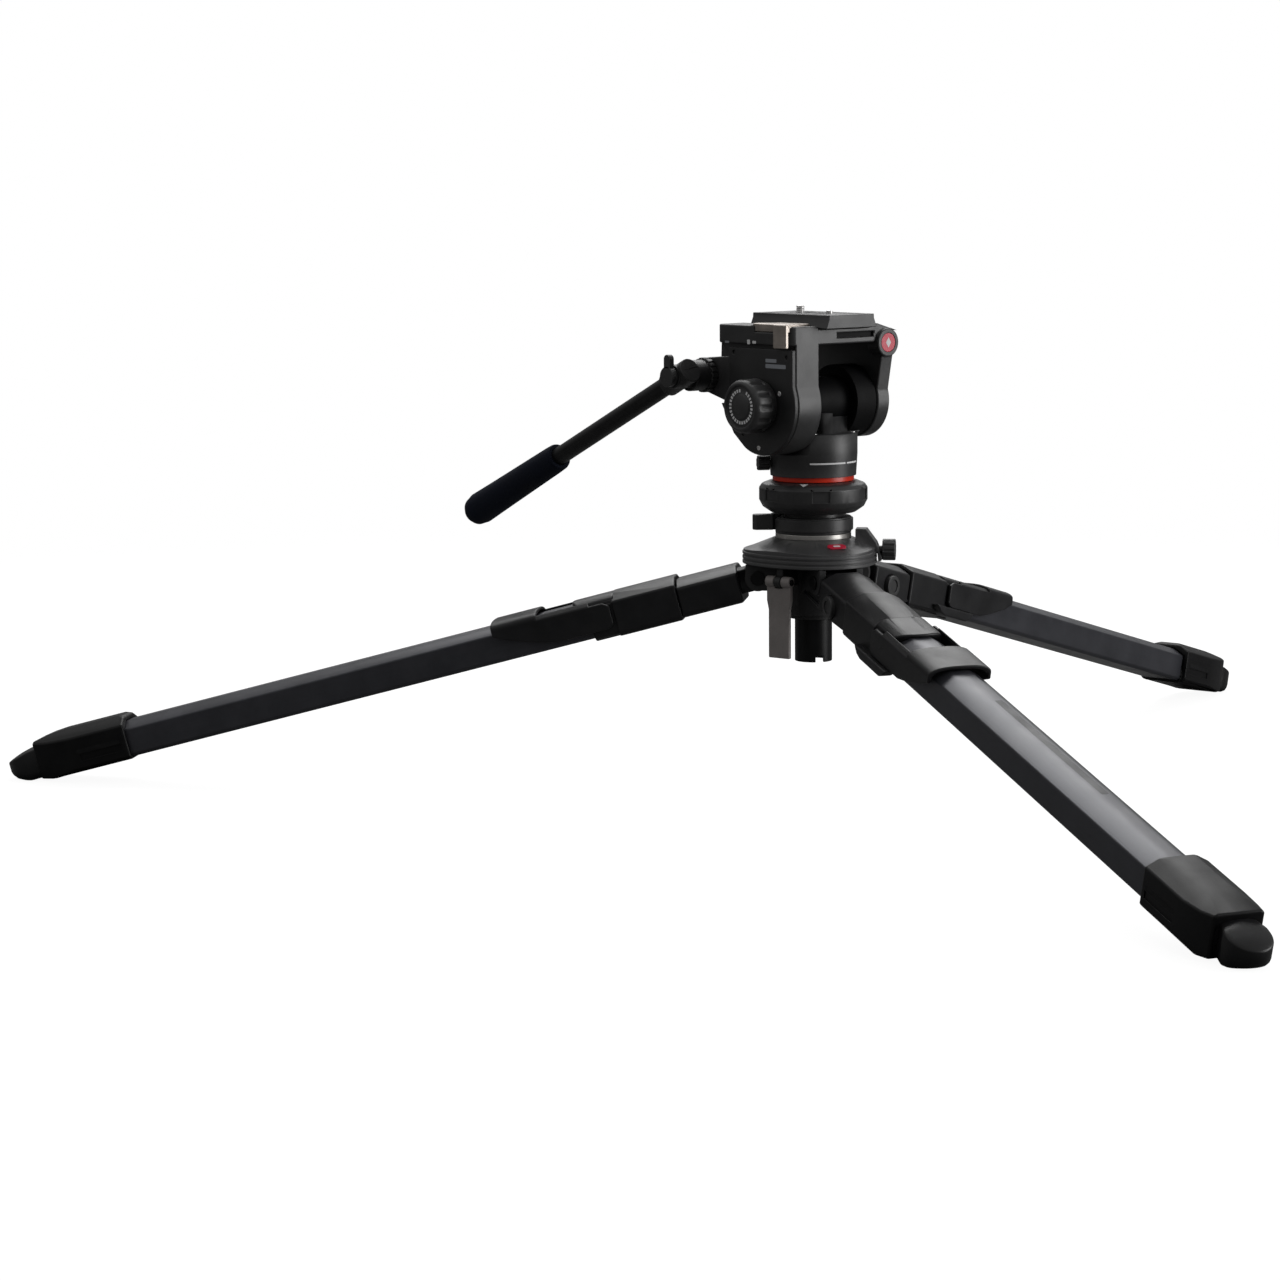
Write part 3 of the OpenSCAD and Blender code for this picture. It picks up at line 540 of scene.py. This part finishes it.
def marks():
    """Screw heads, plain printed marks and the generic marks on the two badges."""
    for name, y, z in (("front", -20.4, -56.6), ("low", 2.3, -97.4)):
        screw_head(f"side_screw_{name}", side_place(y, z), "tilt", 1.8)
    neck_top = -88.0
    for name, x, y in (("left", -19.6, -22.2), ("right", 17.6, -23.9)):
        screw_head(f"neck_screw_{name}", Matrix.Translation((x * MM, y * MM, neck_top * MM)), "pan", 2.1)
    prints = (
        ("label_top", -11.2, -32.8, 12, 2.6, "print_grey"),
        ("label_low", -16.2, -36.8, 22, 3.0, "print_grey"),
        ("side_mark_1", 13.4, -19.9, 3.2, 3.4, "print_white"),
        ("side_mark_2", 7.2, -19.9, 4.0, 2.0, "print_white"),
        ("side_mark_3", 37.6, -20.6, 4.6, 1.6, "print_grey"),
    )
    for name, y, z, width, height, finish in prints:
        piece = finish_mesh(slab(pill(width, height, 0.6, 3), -0.05, 0.07), name, side_place(y, z))
        use(piece, "head_plastic", "tilt", finish)
    for k, (start, end) in enumerate(((223, 274), (277, 303))):
        strip = band(start, end, low=-110.2, high=-109.0, radius=32.55, thick=0.2)
        line = finish_mesh(strip, f"neck_line_{k + 1}", HERE)
        use(line, "head_black", "pan", "print_white")
    arrow = slab(((-3.0, 1.9), (0, -2.2), (3.0, 1.9)), -0.05, 0.1)
    index = finish_mesh(arrow, "drag_index", on_turned(angle=216, radius=35.7, height=-125.2, lean=69.3))
    use(index, "knob_black", "pan_drag_ring", "print_white")
    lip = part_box("tilt_frame")[0].y
    slot_middle = (0.0115, lip + 0.0058, -0.0153)
    shade = finish_mesh(slab(pill(36.6, 3.2, 0.4, 2), -0.2, 0.2), "lip_slot_shade",
                        axes((1, 0, 0), (0, 0, 1), slot_middle))
    use(shade, "head_black", "tilt", "painted_shade_black")
    diamond = finish_mesh(slab(((0, 3.9), (-2.5, 0), (0, -3.9), (2.5, 0)), 0, 0.12), "front_badge_mark",
                          face_place("front_badge", (0, -1, 0)))
    use(diamond, "badge_red", "tilt", "print_white")
    bar = finish_mesh(slab(pill(5.4, 2.0, 0.9), 0, 0.12), "cover_badge_mark",
                      face_place("cover_badge", (0, 0, 1)))
    use(bar, "badge_red", "spider", "print_white")


def vial_parts():
    """The ring and the bubble of the level."""
    low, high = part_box("level_vial")
    place = Matrix.Translation(((low.x + high.x) / 2, (low.y + high.y) / 2, high.z))
    hoop = lathe([(2.9, -0.05), (3.3, -0.05), (3.3, 0.08), (2.9, 0.08)], 40, closed=True)
    ring = finish_mesh(hoop, "vial_ring", place)
    use(ring, "vial_green", "pan", "print_dark")
    dome = lathe([(0, -0.1), (1.7, -0.1), (2.0, 0.02), (1.6, 0.2), (0.9, 0.3), (0, 0.34)], 32)
    bubble = finish_mesh(dome, "vial_bubble", place)
    use(bubble, "vial_green", "pan")


def tube_line():
    """A plain darker band along the crown of the front leg's tube."""
    crown, length, width = 13.7, 152, 5.2
    from_hinge, off_centre = 332, 3.9
    strip = slab(pill(length, width, 0.6, 3), crown - 0.05, crown + 0.04, shift=(from_hinge, off_centre))
    made = finish_mesh(strip, "tube_line", LEGS[3])
    use(made, "tube_alu", "leg3", "print_dark")


def along_profile(points, x):
    """Height at x on a line through (x, height) points, level beyond its ends."""
    for (x0, z0), (x1, z1) in zip(points, points[1:]):
        if x <= x1:
            return z0 + (z1 - z0) * max(0.0, x - x0) / (x1 - x0)
    return points[-1][1]


# Sizes of a toe in mm. Its sides spread by the flare over the run, and its sole is at most this deep.
TOE_LENGTH = 27.7
TOE_HALF_WIDTH = 15.0
TOE_REAR_HALF_WIDTH = 12.6
TOE_FLARE = 2.4
TOE_FLARE_RUN = 9
TOE_DEPTH = 12.6
# Outlines from the sole up: how far in, how far its round end reaches, and how high above the sole.
TOE_SIDES = ((3.0, 7.5, 0.0), (1.1, 11.5, 0.9), (0.3, 14.0, 3.0), (0.0, 15.0, 5.4))
# The same for the crowned top, with heights above the top edge.
TOE_TOP = (
    (0.0, 15.0, -1.0), (0.3, 14.7, -0.3), (1.0, 14.0, 0.1),
    (3.0, 12.0, 0.6), (7.0, 8.2, 1.3), (12.0, 3.2, 1.8),
)


def toe_outline(rear, middle, inset, past, side_steps=6, end_steps=24):
    """Outline of a toe seen from above: sides that spread from the rear, and a round end."""
    side = []
    for k in range(side_steps + 1):
        x = rear + (middle - rear) * k / side_steps
        wide = TOE_REAR_HALF_WIDTH + TOE_FLARE * min(1.0, (x - rear) / TOE_FLARE_RUN)
        side.append((x, wide - inset))
    end = []
    for k in range(1, end_steps):
        a = math.radians(90 - 180 * k / end_steps)
        end.append((middle + past * math.cos(a), (TOE_HALF_WIDTH - inset) * math.sin(a)))
    return side + end + [(x, -y) for x, y in side[::-1]]


def toe(n):
    """The rubber toe of a leg, flat on the floor, and a black sheet at the housing end that paints the shade in
    the gap between them.
    """
    place = LEGS[n]
    node = f"leg{n}_rubber_foot"
    inverse = place.inverted()
    tip = max((inverse @ v.co).x for v in frame["nodes"][node].data.vertices) / MM
    rear, middle = tip - TOE_LENGTH, tip - TOE_HALF_WIDTH
    slope = math.asin(-place.col[0].z)
    drop = (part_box(node)[0].z - place.translation.z) / MM / math.cos(slope)
    top_points = [(rear, 10.5), (tip - 20, 9.6), (tip, 4.6)]

    def sole(x):
        return max(-TOE_DEPTH, drop + x * math.tan(slope))

    def top_edge(x):
        return along_profile(top_points, x)

    levels = [(*level, sole) for level in TOE_SIDES] + [(*level, top_edge) for level in TOE_TOP]
    bm = bmesh.new()
    rings = []
    for inset, past, above, height in levels:
        outline = toe_outline(rear, middle, inset, past)
        rings.append([bm.verts.new((x * MM, y * MM, (height(x) + above) * MM)) for x, y in outline])
    for low, high in zip(rings, rings[1:]):
        for k in range(len(low)):
            j = (k + 1) % len(low)
            bm.faces.new((low[k], low[j], high[j], high[k]))
    bm.faces.new(rings[0][::-1])
    bm.faces.new(rings[-1])
    made = finish_mesh(bm, f"leg{n}_toe", place, sharp=45)
    use(made, "rubber_black", BODY_OF_NODE[node])
    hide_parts(node)
    # A near-black sheet on the housing's end face: painted shade in the gap round the toe.
    upright = axes((0, 1, 0), (0, 0, 1), (0, 0, 0))
    seat = place @ Matrix.Translation(((rear - 0.3) * MM, 0, 1.6 * MM)) @ upright
    shade = finish_mesh(slab(pill(31.4, 25.6, 3, 4), 0.05, 0.3), f"leg{n}_toe_gap_shade", seat)
    use(shade, "leg_plastic", BODY_OF_NODE[f"leg{n}_foot_housing"], "painted_shade_black")


def housing_slot_shades(n):
    """A near-black sheet along each side of a foot housing: painted shade in its slot."""
    housing = f"leg{n}_foot_housing"
    for side, word in ((1, "left"), (-1, "right")):
        flat = face_place(housing, LEGS[n].col[1].xyz * side)
        normal = flat.col[2].xyz
        along = LEGS[n].col[0].xyz
        along = (along - normal * along.dot(normal)).normalized()
        place = axes(along, normal.cross(along), flat.translation)
        made = finish_mesh(slab(pill(36, 3.4, 1.6), -0.5, 0.04), f"leg{n}_housing_slot_shade_{word}", place)
        use(made, "leg_plastic", BODY_OF_NODE[housing], "painted_shade_black")


for n in LEGS:
    toe(n)
    housing_slot_shades(n)
tilt_drag_knob()
camera_screw()
plate_pads()
marks()
vial_parts()
tube_line()


# ---------- stage, light and camera ----------

FLOOR_Z = min(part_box(f"leg{n}_rubber_foot")[0].z for n in LEGS)
MIDDLE_X, MIDDLE_Y = -0.0848, 0.0711
WHITE = (1, 1, 1, 1)


def make_floor():
    """A floor that is pale to the camera, dark to what it lights, and fades out away from the tripod."""
    bm = bmesh.new()
    bmesh.ops.create_circle(bm, cap_ends=True, segments=96, radius=3.2)
    data = bpy.data.meshes.new("floor")
    bm.to_mesh(data)
    bm.free()
    floor = bpy.data.objects.new("floor", data)
    bpy.context.scene.collection.objects.link(floor)
    floor.location = (MIDDLE_X, MIDDLE_Y, FLOOR_Z - 0.0003)
    material = bpy.data.materials.new("floor")
    material.use_nodes = True
    tree = material.node_tree
    tree.nodes.clear()
    seen = add(tree, "ShaderNodeLightPath").outputs["Is Camera Ray"]
    bounced, viewed, glow_share = (0.16, 0.16, 0.16, 1), (0.7, 0.7, 0.7, 1), 0.8
    pale = add(tree, "ShaderNodeMix", {0: seen, 6: bounced, 7: viewed}, data_type="RGBA")
    diffuse = add(tree, "ShaderNodeBsdfDiffuse", {"Color": pale.outputs[2]})
    glow = add(tree, "ShaderNodeEmission", {"Color": WHITE, "Strength": 1.17})
    share = add(tree, "ShaderNodeMath", {0: seen, 1: glow_share}, operation="MULTIPLY").outputs[0]
    lit = add(tree, "ShaderNodeMixShader", {0: share, 1: diffuse.outputs[0], 2: glow.outputs[0]})
    clear = add(tree, "ShaderNodeBsdfTransparent")
    place = add(tree, "ShaderNodeTexCoord").outputs["Object"]
    away = add(tree, "ShaderNodeVectorMath", {0: place}, operation="LENGTH").outputs["Value"]
    whole_to, gone_from = 0.75, 1.9
    fade = add(
        tree,
        "ShaderNodeMapRange",
        {0: away, 1: whole_to, 2: gone_from, 3: 0.0, 4: 1.0},
        interpolation_type="SMOOTHSTEP",
    )
    mix = add(tree, "ShaderNodeMixShader", {0: fade.outputs[0], 1: lit.outputs[0], 2: clear.outputs[0]})
    add(tree, "ShaderNodeOutputMaterial", {"Surface": mix.outputs[0]})
    data.materials.append(material)


def make_world():
    """White to the camera, and grey where it lights the object, darker from below."""
    world = bpy.data.worlds.new("studio")
    bpy.context.scene.world = world
    world.use_nodes = True
    tree = world.node_tree
    tree.nodes.clear()
    seen = add(tree, "ShaderNodeBackground", {"Color": WHITE, "Strength": 1.0})
    way = add(tree, "ShaderNodeTexCoord").outputs["Generated"]
    up = add(tree, "ShaderNodeSeparateXYZ", {0: way}).outputs[2]
    level = ramp(tree, up, -0.15, 0.6, 0.02, 0.44)
    light = add(tree, "ShaderNodeBackground", {"Color": WHITE, "Strength": level})
    camera = add(tree, "ShaderNodeLightPath").outputs["Is Camera Ray"]
    mix = add(tree, "ShaderNodeMixShader", {0: camera, 1: light.outputs[0], 2: seen.outputs[0]})
    add(tree, "ShaderNodeOutputWorld", {"Surface": mix.outputs[0]})


def direction(azimuth, elevation):
    """The way from the tripod at these angles in radians: 0 is the lens side, and a quarter turn is +X."""
    return Vector((
        math.sin(azimuth) * math.cos(elevation),
        -math.cos(azimuth) * math.cos(elevation),
        math.sin(elevation),
    ))


def make_light(name, azimuth, elevation, distance, size, power):
    """A soft panel that faces the tripod, placed by angles in degrees."""
    lamp = bpy.data.lights.new(name, "AREA")
    lamp.shape = "RECTANGLE"
    lamp.size, lamp.size_y = size
    lamp.energy = power
    made = bpy.data.objects.new(name, lamp)
    bpy.context.scene.collection.objects.link(made)
    back = direction(math.radians(azimuth), math.radians(elevation))
    made.location = Vector((MIDDLE_X, MIDDLE_Y, -0.2)) + back * distance
    made.rotation_mode = "QUATERNION"
    made.rotation_quaternion = (-back).to_track_quat("-Z", "Y")


def make_camera():
    """The photograph's viewpoint, with its slight roll and off-centre crop."""
    azimuth, elevation, roll = math.radians(-40), math.radians(8.1), math.radians(-0.42)
    aim, distance = Vector((MIDDLE_X, MIDDLE_Y, -0.2489)), 2.5455
    data = bpy.data.cameras.new("camera")
    data.sensor_width = 36
    data.lens = 95.25
    data.shift_x, data.shift_y = -0.0205, 0.005
    data.clip_start, data.clip_end = 0.1, 40
    camera = bpy.data.objects.new("camera", data)
    bpy.context.scene.collection.objects.link(camera)
    back = direction(azimuth, elevation)
    camera.location = aim + back * distance
    camera.rotation_mode = "QUATERNION"
    camera.rotation_quaternion = (-back).to_track_quat("-Z", "Y") @ Quaternion((0, 0, 1), roll)
    bpy.context.scene.camera = camera


make_floor()
make_world()
make_light("overhead", azimuth=140, elevation=55, distance=2.4, size=(1.8, 1.6), power=34)
make_light("rear", azimuth=130, elevation=30, distance=2.45, size=(2.0, 1.0), power=9)
make_light("right", azimuth=36, elevation=10, distance=2.5, size=(1.2, 1.6), power=32)
make_light("left", azimuth=-120, elevation=25, distance=3.0, size=(1.0, 1.6), power=3)
make_camera()
bpy.context.scene.view_settings.view_transform = "Standard"
